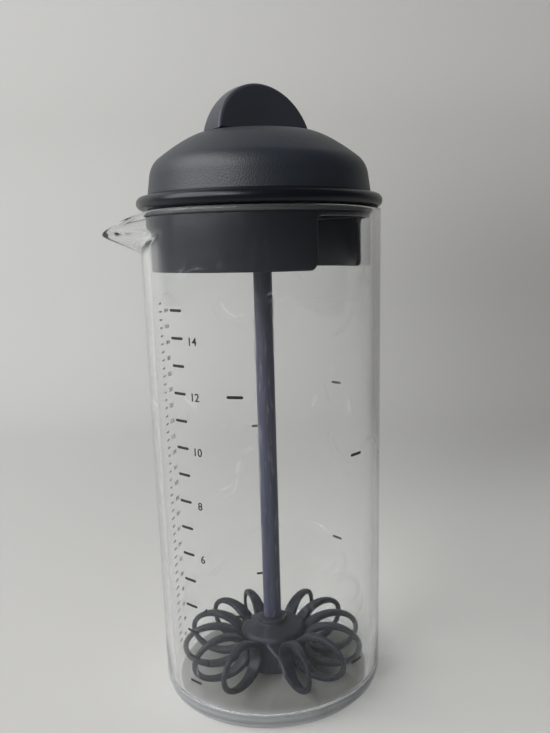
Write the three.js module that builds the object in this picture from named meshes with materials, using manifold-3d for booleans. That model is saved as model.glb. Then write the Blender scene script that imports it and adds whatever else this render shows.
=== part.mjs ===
import * as THREE from "three";
import { ParametricGeometry } from "three/addons/geometries/ParametricGeometry.js";
import { mergeVertices } from "three/addons/utils/BufferGeometryUtils.js";
import Module from "manifold-3d";

const wasm = await Module();
wasm.setup();

// Salad dressing shaker: a clear measuring carafe with a pulled spout, a push-in lid with a pour
// window in its skirt, and a hand plunger with a whisk of twelve loops. Millimetres, +Z up. The origin is
// on the carafe's axis at its underside, and the spout points along -X. Azimuths are measured at the
// axis from -Y towards +X.

// Clearances
const seatGap = 0.3; // between pieces that rest on, or fit round, each other
const floorGap = 0.5; // under the whisk when the plunger is pushed home

// Carafe
const footRadius = 33; // flat underside, up to its rounded corner
const wallBaseRadius = 35.74; // outside of the wall, extended down to the underside
const rimRadius = 37.27;
const rimHeight = 153.84;
const carafeWall = 2.3;
const floorThickness = 3.1;
const footCornerHeight = 5.5;
const floorCornerRadius = 3.2;
const rimEdgeRadius = 0.7;

// Spout, pulled out of the rim
const spoutReach = 11.8; // from the wall to the lip's tip
const spoutNoseRadius = 2.8;
const spoutStartHeight = 137.5; // where the wall begins to swell
const spoutValleyRise = 4.1; // from there to where the straight underside, extended, meets the wall
const spoutValleySlope = 0.42;
const spoutValleyBlend = 0.5; // mm2, how wide the underside rounds into the wall
const spoutFloorThickness = 1.6; // measured upright
const spoutLipDrop = 6.1; // of the tip below the rim
const spoutLipCurve = 1.9; // exponent of the lip's droop along its straight flank

// Lid collar: flange with a rounded bead, skirt with the pour window
const beadRadius = 37.75; // outside
const beadThickness = 4;
const skirtRadius = 34; // outside
const skirtThickness = 1.8;
const skirtLength = 18.2; // below the flange
const collarBandHeight = 2.8; // closed ring between the flange and the window's top
const collarBandThickness = 3.2;
const windowStartAzimuth = 29.5; // degrees
const windowEndAzimuth = 111;
const windowCornerRadius = 2;
const flangeSlopeWidth = 1.2; // sloped band between the bead and the dome
const flangeSlopeHeight = 0.5;
const lipHeight = 3; // upstand that centres the dome
const lipThickness = 1.6;

// Gasket, in a groove of the collar's band
const gasketHeight = 1;
const gasketDepth = 1.35;
const gasketRounding = 0.35;
const gasketTopInset = 0.5; // groove's top below the flange

// Dome
const domeSeatRadius = 34.2;
const domeWall = 2;
const domeWallTopRadius = 33.5;
const domeWallTopHeight = 163.6;
const shoulderCornerRadius = 33.05; // where the wall's and the slope's lines would meet
const shoulderCornerHeight = 167.3;
const slopeStartRadius = 30.6;
const slopeStartHeight = 169.2;
const slopeCornerRadius = 23.42;
const slopeCornerHeight = 174.73;
const crownEdgeRadius = 18.5;
const crownEdgeHeight = 176.4;
const crownRadius = 16.5;
const crownHeight = 176.6;

// Stem guide, a boss under the crown, with its seal
const guideRadius = 6.4;
const guideEndHeight = 158;
const sealDepth = 1.35;
const sealHeight = 1.6;
const sealRounding = 0.4;
const retainerHeight = 1.4;
const guideChamfer = 0.5;

// Plunger stem, with a slim tenon at each end
const stemRadius = 2.95;
const tenonRadius = 1.9;
const tenonLength = 8;
const stemChamfer = 0.4;

// Knob: an upright half-disc fin that thins towards its top
const knobRadius = 17;
const knobCentreHeight = 174.3;
const knobBaseThickness = 9.6; // at the crown
const knobTopThickness = 4.2;
const knobEdgeRadius = 0.8;
const knobYaw = 34.6; // degrees, of the fin's width from +X towards +Y

// Whisk: a hub and twelve loops in two groups, each an upright oval ring in a plane through the axis.
// A ring is a strip bent round an oval: thin at its outer end and widening towards the hub, where
// neighbours nearly meet.
const hubRadius = 10.8;
const hubSideHeight = 12; // upright side, above the whisk's lowest point
const hubShoulderHeight = 14.5;
const hubRounding = 1.5;
const socketRadius = 4.9;
const loopCentreRadius = 20.2;
const loopHalfLength = 9.4; // of the ring's centre line
const loopHalfHeight = 6.7;
const loopTilt = 5; // degrees, rising outwards
const loopThickness = 1.8; // in the ring's plane
const loopRootWidth = 4.5; // across the plane, beside the hub
const loopTipWidth = 1.1; // across the plane, at the outer end
const loopEdgeRadius = 0.3;
const loopsPerGroup = 6;
const groupCount = 2;
const loopPitch = 25.7; // degrees between neighbours of one group
const whiskAzimuth = -5.1; // degrees, of the gap between the groups

// Facets
const turn = 2 * Math.PI;
const roundFacets = 48;
const smallFacets = 24;
const arcFacets = 4;
const curveFacets = 5; // of each of the dome's curves outside
const innerCurveFacets = 3;
const loopFacets = 9; // round half a ring
const hubFacets = 28;
const finFacets = 30;
const finEdgeFacets = 3; // round the knob's edge
const edgeFacets = 1; // a small edge, as a chamfer
const spoutFacets = 24; // across the spout
const wallFacets = 40; // round the rest of the carafe
const spoutRows = 6;
const mergeTolerance = 1e-4;

// Heights and radii that follow from the sizes above
const flangeHeight = rimHeight + seatGap; // the flange's underside
const beadCentreHeight = flangeHeight + beadThickness / 2;
const flangeTop = flangeHeight + beadThickness + flangeSlopeHeight;
const domeSeatHeight = flangeTop + seatGap;
const skirtEnd = flangeHeight - skirtLength;
const windowTop = flangeHeight - collarBandHeight;
const boreRadius = stemRadius + seatGap; // of everything that the stem slides through
const whiskBottom = floorThickness + floorGap;
const knobBottom = crownHeight + seatGap;

const radians = THREE.MathUtils.degToRad;
const point = (x, y) => new THREE.Vector2(x, y);

// Solids

function toSolid(geometry) {
  const bare = geometry.index ? geometry.toNonIndexed() : geometry.clone();
  bare.deleteAttribute("normal");
  bare.deleteAttribute("uv");
  const merged = mergeVertices(bare, mergeTolerance);
  return new wasm.Manifold(
    new wasm.Mesh({
      numProp: 3,
      vertProperties: merged.attributes.position.array,
      triVerts: new Uint32Array(merged.index.array),
    }),
  );
}

function toGeometry(solid) {
  const mesh = solid.getMesh();
  const positions = new Float32Array(mesh.numVert * 3);
  for (let i = 0; i < mesh.numVert; i++) {
    const start = i * mesh.numProp;
    positions.set(mesh.vertProperties.subarray(start, start + 3), i * 3);
  }
  const geometry = new THREE.BufferGeometry();
  geometry.setAttribute("position", new THREE.BufferAttribute(positions, 3));
  geometry.setIndex(new THREE.BufferAttribute(mesh.triVerts, 1));
  geometry.computeVertexNormals();
  return geometry;
}

// A profile of (radius, height) points turned about Z. It runs counterclockwise in that plane.
function turned(profile, facets = roundFacets) {
  const geometry = new THREE.LatheGeometry(profile, facets);
  geometry.rotateX(Math.PI / 2);
  return geometry;
}

// Points of an ellipse's quarter from one corner of its box to the opposite one.
function quarter(fromX, fromY, toX, toY, startsUpright, facets = arcFacets) {
  const points = [];
  for (let i = 0; i <= facets; i++) {
    const angle = ((i / facets) * Math.PI) / 2;
    const slow = 1 - Math.cos(angle);
    const fast = Math.sin(angle);
    const shareX = startsUpright ? slow : fast;
    const shareY = startsUpright ? fast : slow;
    points.push(point(fromX + (toX - fromX) * shareX, fromY + (toY - fromY) * shareY));
  }
  return points;
}

// A ring of rectangular section with rounded edges.
function ringProfile(inner, outer, low, high, rounding) {
  return [
    ...quarter(outer - rounding, low, outer, low + rounding, false, edgeFacets),
    ...quarter(outer, high - rounding, outer - rounding, high, true, edgeFacets),
    ...quarter(inner + rounding, high, inner, high - rounding, false, edgeFacets),
    ...quarter(inner, low + rounding, inner + rounding, low, true, edgeFacets),
    point(outer - rounding, low),
  ];
}

// The polyline moved to its left by a distance, as a shell's other face.
function offsetLine(points, distance) {
  return points.map((p, i) => {
    const before = points[Math.max(i - 1, 0)];
    const after = points[Math.min(i + 1, points.length - 1)];
    const along = after.clone().sub(before).normalize();
    return point(p.x - along.y * distance, p.y + along.x * distance);
  });
}

// Carafe

const wallRadius = (z) => wallBaseRadius + ((rimRadius - wallBaseRadius) * z) / rimHeight;

// How far the spout's nose stands out of the wall at a height: a hyperbola between the wall and the
// channel's straight underside, no further than the tip.
function valleyReach(z) {
  const rise = z - spoutStartHeight - spoutValleyRise;
  const root = Math.sqrt(rise * rise + 4 * spoutValleySlope * spoutValleyBlend);
  return (rise + root) / (2 * spoutValleySlope);
}

function noseReach(z) {
  if (z <= spoutStartHeight) {
    return 0;
  }
  return Math.min(valleyReach(z) - valleyReach(spoutStartHeight), spoutReach);
}

// Half the angle that the spout takes out of the wall's circle, where its flanks leave it as tangents.
function flankAngle(reach, radius, noseRadius) {
  const arm = radius - noseRadius;
  return Math.acos(arm / (arm + reach));
}

// Plan radius at an angle from the spout's middle: the circle, a straight flank or the rounded nose.
function planRadius(angle, reach, radius, noseRadius) {
  const away = Math.abs(angle);
  const flank = flankAngle(reach, radius, noseRadius);
  if (away >= flank) {
    return radius;
  }
  const centre = radius - noseRadius + reach;
  const side = centre * Math.sin(away);
  const noseEnd = Math.atan2(
    noseRadius * Math.sin(flank),
    centre + noseRadius * Math.cos(flank),
  );
  if (away <= noseEnd) {
    return centre * Math.cos(away) + Math.sqrt(noseRadius * noseRadius - side * side);
  }
  return radius / Math.cos(flank - away);
}

// Height of the rim, which droops along the spout's flanks to the tip.
const fullFlank = flankAngle(spoutReach, rimRadius, spoutNoseRadius);
function edgeHeight(angle) {
  const away = Math.abs(angle);
  if (away >= fullFlank) {
    return rimHeight;
  }
  const along = Math.tan(fullFlank - away) / Math.tan(fullFlank);
  return rimHeight - spoutLipDrop * Math.pow(along, spoutLipCurve);
}

function carafeRows() {
  const outside = (inset) => (angle, z) =>
    planRadius(angle, noseReach(z), wallRadius(z) - inset, spoutNoseRadius - inset);
  const inside = (inset) => (angle, z) =>
    planRadius(
      angle,
      noseReach(z - spoutFloorThickness),
      wallRadius(z) - carafeWall + inset,
      spoutNoseRadius - carafeWall + inset,
    );
  const still = (r, z) => () => [r, z];
  const rows = [still(0, 0)];
  const footEnd = wallRadius(footCornerHeight);
  for (const p of quarter(footRadius, 0, footEnd, footCornerHeight, false)) {
    rows.push(still(p.x, p.y));
  }
  rows.push(still(wallRadius(spoutStartHeight), spoutStartHeight));
  const outer = outside(0);
  const rising = (share, angle, drop) =>
    spoutStartHeight + (edgeHeight(angle) - drop - spoutStartHeight) * share;
  for (let i = 1; i <= spoutRows; i++) {
    rows.push((angle) => {
      const z = rising(i / spoutRows, angle, rimEdgeRadius);
      return [outer(angle, z), z];
    });
  }
  const edgeOut = outside(rimEdgeRadius);
  const edgeIn = inside(rimEdgeRadius);
  const inner = inside(0);
  rows.push((angle) => [edgeOut(angle, edgeHeight(angle)), edgeHeight(angle)]);
  rows.push((angle) => [edgeIn(angle, edgeHeight(angle)), edgeHeight(angle)]);
  for (let i = spoutRows; i >= 1; i--) {
    rows.push((angle) => {
      const z = rising(i / spoutRows, angle, rimEdgeRadius);
      return [inner(angle, z), z];
    });
  }
  const innerRadius = (z) => wallRadius(z) - carafeWall;
  const cornerTop = floorThickness + floorCornerRadius;
  rows.push(still(innerRadius(spoutStartHeight), spoutStartHeight));
  const floorEdge = innerRadius(cornerTop) - floorCornerRadius;
  for (const p of quarter(innerRadius(cornerTop), cornerTop, floorEdge, floorThickness, true)) {
    rows.push(still(p.x, p.y));
  }
  rows.push(still(0, floorThickness));
  return rows;
}

function carafe() {
  const rows = carafeRows();
  const columns = spoutFacets + wallFacets;
  const spoutHalf = fullFlank + turn / wallFacets;
  const angleOf = (u) => {
    const column = Math.round(u * columns);
    if (column <= spoutFacets) {
      return spoutHalf * ((2 * column) / spoutFacets - 1);
    }
    return spoutHalf + ((turn - 2 * spoutHalf) * (column - spoutFacets)) / wallFacets;
  };
  const surface = (u, v, target) => {
    const angle = angleOf(u);
    const signed = angle > Math.PI ? angle - turn : angle;
    const [r, z] = rows[Math.round(v * (rows.length - 1))](signed);
    target.set(-r * Math.cos(angle), -r * Math.sin(angle), z);
  };
  return toSolid(new ParametricGeometry(surface, columns, rows.length - 1));
}

// Lid

// The collar's groove, and the gasket in it, measured from the flange down.
const grooveTop = flangeHeight - gasketTopInset;
const grooveBottom = grooveTop - gasketHeight - 2 * seatGap;
const gasketOuter = wallRadius(rimHeight) - carafeWall - seatGap;
const grooveRadius = gasketOuter - gasketDepth - seatGap;

// Outside of the dome's drafted wall at a height.
function domeRadiusAt(z) {
  const share = (z - domeSeatHeight) / (domeWallTopHeight - domeSeatHeight);
  return domeSeatRadius + (domeWallTopRadius - domeSeatRadius) * share;
}

function collarProfile() {
  const skirtInner = skirtRadius - skirtThickness;
  const bandInner = skirtRadius - collarBandThickness;
  const bandEnd = (windowTop + grooveBottom) / 2;
  const beadCentre = beadRadius - beadThickness / 2;
  const beadTop = flangeHeight + beadThickness;
  const lipOuter = domeSeatRadius - domeWall - seatGap;
  const lipInner = lipOuter - lipThickness;
  const lipTop = flangeTop + lipHeight;
  const lipTopOuter = domeRadiusAt(lipTop) - domeWall - seatGap;
  return [
    point(skirtInner, skirtEnd),
    point(skirtRadius, skirtEnd),
    point(skirtRadius, grooveBottom),
    point(grooveRadius, grooveBottom),
    point(grooveRadius, grooveTop),
    point(skirtRadius, grooveTop),
    point(skirtRadius, flangeHeight),
    ...quarter(beadCentre, flangeHeight, beadRadius, beadCentreHeight, false),
    ...quarter(beadRadius, beadCentreHeight, beadCentre, beadTop, true).slice(1),
    point(domeSeatRadius + flangeSlopeWidth, beadTop),
    point(domeSeatRadius, flangeTop),
    point(lipOuter, flangeTop),
    point(lipTopOuter, lipTop),
    point(lipInner, lipTop),
    point(lipInner, flangeTop),
    point(bandInner, flangeHeight),
    point(bandInner, bandEnd),
    point(skirtInner, bandEnd),
    point(skirtInner, skirtEnd),
  ];
}

// The pour window as a wedge of the skirt's height, with rounded upper corners: upright slices of an
// arc, each one as tall as the window is there.
function windowCutter() {
  const start = radians(windowStartAzimuth);
  const end = radians(windowEndAzimuth);
  const inner = skirtRadius - skirtThickness - seatGap;
  const outer = skirtRadius + seatGap;
  const low = skirtEnd - seatGap;
  const cornerAngle = windowCornerRadius / skirtRadius;
  const angles = [];
  for (let i = 0; i <= arcFacets; i++) {
    angles.push(start + cornerAngle * (1 - Math.cos(((i / arcFacets) * Math.PI) / 2)));
  }
  const span = end - start - 2 * cornerAngle;
  const middleFacets = Math.round((roundFacets * span) / turn);
  for (let i = 1; i < middleFacets; i++) {
    angles.push(start + cornerAngle + (span * i) / middleFacets);
  }
  for (let i = arcFacets; i >= 0; i--) {
    angles.push(end - cornerAngle * (1 - Math.cos(((i / arcFacets) * Math.PI) / 2)));
  }
  const topAt = (angle) => {
    const inside = Math.min(angle - start, end - angle) / cornerAngle;
    const short = 1 - Math.min(inside, 1);
    return windowTop - windowCornerRadius * (1 - Math.sqrt(1 - short * short));
  };
  const corners = [
    () => [outer, low],
    () => [inner, low],
    (angle) => [inner, topAt(angle)],
    (angle) => [outer, topAt(angle)],
    () => [outer, low],
  ];
  const sides = corners.length - 1;
  const lastStack = angles.length + 1;
  // The first and last stacks close the wedge's two ends onto a point of their middles.
  const surface = (u, v, target) => {
    const stack = Math.round(v * lastStack);
    const angle = angles[THREE.MathUtils.clamp(stack - 1, 0, angles.length - 1)];
    const capped = stack === 0 || stack === lastStack;
    const [r, z] = capped
      ? [(inner + outer) / 2, (low + windowTop) / 2]
      : corners[Math.round(u * sides)](angle);
    target.set(r * Math.sin(angle), -r * Math.cos(angle), z);
  };
  return toSolid(new ParametricGeometry(surface, sides, lastStack));
}

function collar() {
  return toSolid(turned(collarProfile())).subtract(windowCutter());
}

function gasket() {
  const low = grooveBottom + seatGap;
  const inner = gasketOuter - gasketDepth;
  return toSolid(
    turned(ringProfile(inner, gasketOuter, low, low + gasketHeight, gasketRounding)),
  );
}

function domeOutline(facets) {
  const outline = new THREE.Path();
  outline.moveTo(domeSeatRadius, domeSeatHeight);
  outline.lineTo(domeWallTopRadius, domeWallTopHeight);
  outline.quadraticCurveTo(
    shoulderCornerRadius,
    shoulderCornerHeight,
    slopeStartRadius,
    slopeStartHeight,
  );
  outline.quadraticCurveTo(
    slopeCornerRadius,
    slopeCornerHeight,
    crownEdgeRadius,
    crownEdgeHeight,
  );
  outline.lineTo(crownRadius, crownHeight);
  return outline.getPoints(facets);
}

// Heights of the guide's counterbore, which holds the seal and the retainer under it.
const retainerBottom = guideEndHeight;
const sealBottom = retainerBottom + retainerHeight + seatGap;
const counterboreTop = sealBottom + sealHeight + seatGap;
const sealOuter = boreRadius + sealDepth;
const counterboreRadius = sealOuter + seatGap;

function dome() {
  const outer = domeOutline(curveFacets);
  const inner = offsetLine(domeOutline(innerCurveFacets), domeWall);
  inner[0] = point(domeSeatRadius - domeWall, domeSeatHeight);
  inner[inner.length - 1].setY(crownHeight - domeWall);
  return toSolid(
    turned([
      ...outer,
      point(boreRadius, crownHeight),
      point(boreRadius, counterboreTop),
      point(counterboreRadius, counterboreTop),
      point(counterboreRadius, guideEndHeight),
      point(guideRadius - guideChamfer, guideEndHeight),
      point(guideRadius, guideEndHeight + guideChamfer),
      point(guideRadius, crownHeight - domeWall),
      ...inner.reverse(),
      outer[0],
    ]),
  );
}

function stemSeal() {
  const high = sealBottom + sealHeight;
  return toSolid(
    turned(ringProfile(boreRadius, sealOuter, sealBottom, high, sealRounding), smallFacets),
  );
}

function sealRetainer() {
  const high = retainerBottom + retainerHeight;
  return toSolid(
    turned(ringProfile(boreRadius, sealOuter, retainerBottom, high, sealRounding), smallFacets),
  );
}

// Plunger

const stemLow = whiskBottom + hubShoulderHeight + hubRounding + seatGap;
const stemHigh = knobBottom - seatGap;
const lowTenonEnd = stemLow - tenonLength;
const highTenonEnd = stemHigh + tenonLength;

function stem() {
  return toSolid(
    turned(
      [
        point(0, lowTenonEnd),
        point(tenonRadius - stemChamfer, lowTenonEnd),
        point(tenonRadius, lowTenonEnd + stemChamfer),
        point(tenonRadius, stemLow),
        point(stemRadius - stemChamfer, stemLow),
        point(stemRadius, stemLow + stemChamfer),
        point(stemRadius, stemHigh - stemChamfer),
        point(stemRadius - stemChamfer, stemHigh),
        point(tenonRadius, stemHigh),
        point(tenonRadius, highTenonEnd - stemChamfer),
        point(tenonRadius - stemChamfer, highTenonEnd),
        point(0, highTenonEnd),
      ],
      smallFacets,
    ),
  );
}

// A bore from one height to another, for a tenon.
function tenonBore(low, high) {
  const radius = tenonRadius + seatGap;
  return toSolid(
    turned([point(0, low), point(radius, low), point(radius, high), point(0, high)], smallFacets),
  );
}

// The fin as bands between its two faces: each band is the half-disc outline at one place across the
// thickness, smaller towards the faces, which lean in towards the top.
function knob() {
  const topHeight = knobCentreHeight + knobRadius;
  const halfAt = (z) => {
    const share = (z - knobBottom) / (topHeight - knobBottom);
    return (knobBaseThickness + (knobTopThickness - knobBaseThickness) * share) / 2;
  };
  const bands = [];
  for (let i = 0; i <= finEdgeFacets; i++) {
    const angle = ((i / finEdgeFacets) * Math.PI) / 2;
    const inset = knobEdgeRadius * (1 - Math.sin(angle));
    const back = knobEdgeRadius * (1 - Math.cos(angle));
    bands.push({ side: -1, inset, back });
  }
  bands.push(...bands.map((band) => ({ ...band, side: 1 })).reverse());
  const last = bands.length + 1;
  const outline = (share, inset) => {
    const radius = knobRadius - inset;
    const low = Math.asin((knobBottom + inset - knobCentreHeight) / radius);
    const angle = Math.PI - low - (Math.PI - 2 * low) * share;
    return [radius * Math.cos(angle), knobCentreHeight + radius * Math.sin(angle)];
  };
  const surface = (u, v, target) => {
    const stack = Math.round(v * last);
    const band = bands[THREE.MathUtils.clamp(stack - 1, 0, bands.length - 1)];
    const column = Math.round(u * (finFacets + 1));
    const capped = stack === 0 || stack === last;
    const [x, z] = capped
      ? [0, (knobBottom + topHeight) / 2]
      : outline(column > finFacets ? 0 : column / finFacets, band.inset);
    target.set(x, band.side * (halfAt(z) - band.back), z);
  };
  const fin = toSolid(new ParametricGeometry(surface, finFacets + 1, last));
  const bored = fin.subtract(tenonBore(knobBottom - seatGap, highTenonEnd + seatGap));
  return bored.rotate([0, 0, knobYaw]);
}

// Half the width of a ring's strip at a distance from the axis.
function halfLoopWidth(r) {
  const share = (r - loopCentreRadius + loopHalfLength) / (2 * loopHalfLength);
  return (loopRootWidth + (loopTipWidth - loopRootWidth) * share) / 2;
}

// One ring: the strip's section, an oblong with cut corners, is carried round the oval.
function loop(azimuth) {
  const tilt = radians(loopTilt);
  const lowest = Math.hypot(loopHalfLength * Math.sin(tilt), loopHalfHeight * Math.cos(tilt));
  const thick = loopThickness / 2;
  const flat = thick - loopEdgeRadius;
  const centreHeight = whiskBottom + lowest + thick;
  // Each corner of the section: how far outside the centre line, on which side, how far in from it
  const section = [
    [-flat, 1, 0],
    [flat, 1, 0],
    [thick, 1, loopEdgeRadius],
    [thick, -1, loopEdgeRadius],
    [flat, -1, 0],
    [-flat, -1, 0],
    [-thick, -1, loopEdgeRadius],
    [-thick, 1, loopEdgeRadius],
  ];
  const surface = (u, v, target) => {
    const [grow, side, inset] = section[Math.round(v * section.length) % section.length];
    const along = (loopHalfLength + grow) * Math.cos(u * turn);
    const up = (loopHalfHeight + grow) * Math.sin(u * turn);
    const r = loopCentreRadius + along * Math.cos(tilt) - up * Math.sin(tilt);
    const z = centreHeight + along * Math.sin(tilt) + up * Math.cos(tilt);
    const across = side * (halfLoopWidth(r) - inset);
    target.set(
      r * Math.sin(azimuth) + across * Math.cos(azimuth),
      across * Math.sin(azimuth) - r * Math.cos(azimuth),
      z,
    );
  };
  return toSolid(new ParametricGeometry(surface, 2 * loopFacets, section.length));
}

function hub() {
  const low = whiskBottom;
  const shoulder = low + hubShoulderHeight;
  const profile = [
    point(0, low),
    ...quarter(hubRadius - hubRounding, low, hubRadius, low + hubRounding, false),
    ...quarter(hubRadius, low + hubSideHeight, socketRadius, shoulder, true),
    point(socketRadius, shoulder + hubRounding),
    point(0, shoulder + hubRounding),
  ];
  return toSolid(turned(profile, hubFacets)).rotate([0, 0, whiskAzimuth]);
}

function whisk() {
  let head = hub();
  const firstLoop = -((loopsPerGroup - 1) * loopPitch) / 2;
  for (let group = 0; group < groupCount; group++) {
    for (let i = 0; i < loopsPerGroup; i++) {
      const groupMiddle = whiskAzimuth + (group + 1 / 2) * (360 / groupCount);
      head = head.add(loop(radians(groupMiddle + firstLoop + i * loopPitch)));
    }
  }
  return head.subtract(tenonBore(lowTenonEnd - seatGap, stemLow));
}

// Assembly

const blackMoulding = { color: 0x232526, roughness: 0.55, metalness: 0 };
const pieces = {
  carafe: [carafe, { color: 0xdfe1e0, roughness: 0.12, metalness: 0, transparent: true, opacity: 0.25 }],
  lid_gasket: [gasket, { color: 0x8f9294, roughness: 0.6, metalness: 0 }],
  lid_collar: [collar, { color: 0x191b1e, roughness: 0.35, metalness: 0 }],
  lid_dome: [dome, blackMoulding],
  stem_seal: [stemSeal, { color: 0x3a3c3e, roughness: 0.7, metalness: 0 }],
  seal_retainer: [sealRetainer, { color: 0x1c1e20, roughness: 0.45, metalness: 0 }],
  stem: [stem, { color: 0x262a35, roughness: 0.4, metalness: 0 }],
  knob: [knob, { color: 0x24272c, roughness: 0.38, metalness: 0 }],
  whisk: [whisk, { color: 0x3a3d42, roughness: 0.5, metalness: 0 }],
};

const shaker = new THREE.Group();
for (const [name, [make, look]] of Object.entries(pieces)) {
  const mesh = new THREE.Mesh(toGeometry(make()), new THREE.MeshStandardMaterial(look));
  mesh.name = name;
  shaker.add(mesh);
}

export default shaker;
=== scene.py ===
import math

import bmesh
import bpy
import numpy as np
from mathutils import Matrix, Vector


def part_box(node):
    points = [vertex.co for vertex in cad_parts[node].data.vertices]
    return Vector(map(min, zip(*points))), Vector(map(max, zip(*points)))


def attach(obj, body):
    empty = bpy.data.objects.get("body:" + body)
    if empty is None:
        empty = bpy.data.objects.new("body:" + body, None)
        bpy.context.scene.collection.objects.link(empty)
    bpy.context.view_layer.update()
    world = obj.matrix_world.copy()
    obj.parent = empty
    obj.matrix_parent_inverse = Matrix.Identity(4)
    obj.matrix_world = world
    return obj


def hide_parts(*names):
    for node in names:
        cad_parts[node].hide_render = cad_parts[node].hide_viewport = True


# Salad dressing shaker: a clear measuring carafe with a pulled spout, a push-in lid with a pour
# window, and a hand plunger with a looped whisk. Lengths are millimetres in the dictionaries of
# the pieces and the view, and metres in those of the materials and the studio. Angles in them are
# degrees unless a comment says radians, and those round the axis run from -Y towards +X.

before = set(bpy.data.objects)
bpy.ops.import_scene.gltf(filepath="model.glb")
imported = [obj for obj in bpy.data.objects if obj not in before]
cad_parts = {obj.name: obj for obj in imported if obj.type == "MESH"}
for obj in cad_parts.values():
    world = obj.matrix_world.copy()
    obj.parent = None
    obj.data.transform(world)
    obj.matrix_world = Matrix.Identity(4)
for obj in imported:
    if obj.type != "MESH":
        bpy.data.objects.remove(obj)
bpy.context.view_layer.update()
scene = bpy.context.scene
mm = 0.001
turn = 2 * np.pi
quarter = np.pi / 2
seamWidth = 2e-7  # metres within which points are one
tiny = 1e-9  # keeps a division from failing


def low(node):
    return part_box(node)[0].z / mm


def high(node):
    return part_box(node)[1].z / mm


def reachOf(node):
    # how far a round node stands out from the axis
    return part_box(node)[1].y / mm


# Mesh tools


def around(radius, angle, height):
    # points at a radius, an angle in radians and a height: (r sin a, -r cos a, z)
    radius, angle, height = np.broadcast_arrays(radius, angle, height)
    return np.stack([radius * np.sin(angle), -radius * np.cos(angle), height], -1)


def gridFaces(rows, columns, wrapRows, wrapColumns):
    # quads of a grid of points; a wrapped side joins its last line to its first
    r = np.arange(rows if wrapRows else rows - 1)[:, None]
    c = np.arange(columns if wrapColumns else columns - 1)[None, :]
    nextR = (r + 1) % rows
    nextC = (c + 1) % columns
    corners = (r * columns + c, r * columns + nextC, nextR * columns + nextC, nextR * columns + c)
    return np.stack(np.broadcast_arrays(*corners), -1).reshape(-1, 4)


def meshOf(name, points, faces, sharpAngle):
    # closes seams and poles, then shades smooth except across sharp edges
    mesh = bpy.data.meshes.new(name)
    mesh.from_pydata((points * mm).tolist(), [], faces)
    shape = bmesh.new()
    shape.from_mesh(mesh)
    bmesh.ops.remove_doubles(shape, verts=shape.verts, dist=seamWidth)
    shape.to_mesh(mesh)
    shape.free()
    mesh.shade_smooth()
    mesh.set_sharp_from_angle(angle=math.radians(sharpAngle))
    return mesh


def addObject(name, data):
    made = bpy.data.objects.new(name, data)
    scene.collection.objects.link(made)
    return made


def placePiece(name, mesh, body, finish, replaced=()):
    # a piece without a body is part of the studio
    piece = addObject(name, mesh)
    mesh.materials.append(finish)
    if body is None:
        return piece
    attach(piece, body)
    if replaced:
        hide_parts(*replaced)
    return piece


def gridPiece(name, grids, body, finish, replaced=(), sharpAngle=38):
    # each grid is (points, wrapRows, wrapColumns), with points of shape (rows, columns, 3)
    points, faces, start = [], [], 0
    for grid, wrapRows, wrapColumns in grids:
        rows, columns = grid.shape[:2]
        points.append(grid.reshape(-1, 3))
        faces.append(gridFaces(rows, columns, wrapRows, wrapColumns) + start)
        start += rows * columns
    mesh = meshOf(name, np.concatenate(points), np.concatenate(faces).tolist(), sharpAngle)
    return placePiece(name, mesh, body, finish, replaced)


def fullTurn(steps):
    return np.linspace(0, turn, steps, endpoint=False)


def turned(profile, steps=192):
    # (radius, height) points carried round the axis; the profile runs counterclockwise
    return around(profile[:, :1], fullTurn(steps), profile[:, 1:])


def filleted(corners, steps=6):
    # corners are (x, y, fillet): each becomes an arc that touches both of its sides
    corners = np.asarray(corners, float)
    p, radius = corners[:, :2], corners[:, 2:]
    before, after = np.roll(p, 1, 0) - p, np.roll(p, -1, 0) - p
    u = before / np.linalg.norm(before, axis=1, keepdims=True)
    v = after / np.linalg.norm(after, axis=1, keepdims=True)
    half = np.arccos(np.clip((u * v).sum(1, keepdims=True), -1, 1)) / 2
    middle = u + v
    middle /= np.maximum(np.linalg.norm(middle, axis=1, keepdims=True), tiny)
    centre = p + middle * radius / np.sin(half)
    first = p + u * radius / np.tan(half) - centre
    last = p + v * radius / np.tan(half) - centre
    bend = np.maximum(np.pi - 2 * half, tiny)[:, None]
    share = np.linspace(0, 1, steps + 1)[None, :, None]
    sweep = np.sin((1 - share) * bend) * first[:, None] + np.sin(share * bend) * last[:, None]
    return (centre[:, None] + sweep / np.sin(bend)).reshape(-1, 2)


def bezier(start, corner, end, steps):
    # quadratic curve from start to end that leaves both towards the corner
    t = np.linspace(0, 1, steps)[:, None]
    return (1 - t) ** 2 * np.array(start) + 2 * t * (1 - t) * np.array(corner) + t**2 * np.array(end)


# Materials


class Link:
    # a node's output that can stand in plain expressions of numbers

    def __init__(self, shop, socket):
        self.shop = shop
        self.socket = socket

    def of(self, output):
        return Link(self.shop, self.socket.node.outputs[output])

    def math(self, operation, a, b):
        return self.shop.node("Math", {"operation": operation}, {0: a, 1: b})

    def __add__(self, other):
        return self.math("ADD", self, other)

    def __mul__(self, other):
        return self.math("MULTIPLY", self, other)

    def __pow__(self, other):
        return self.math("POWER", self, other)

    def __gt__(self, other):
        return self.math("GREATER_THAN", self, other)

    __radd__ = __add__
    __rmul__ = __mul__


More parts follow.
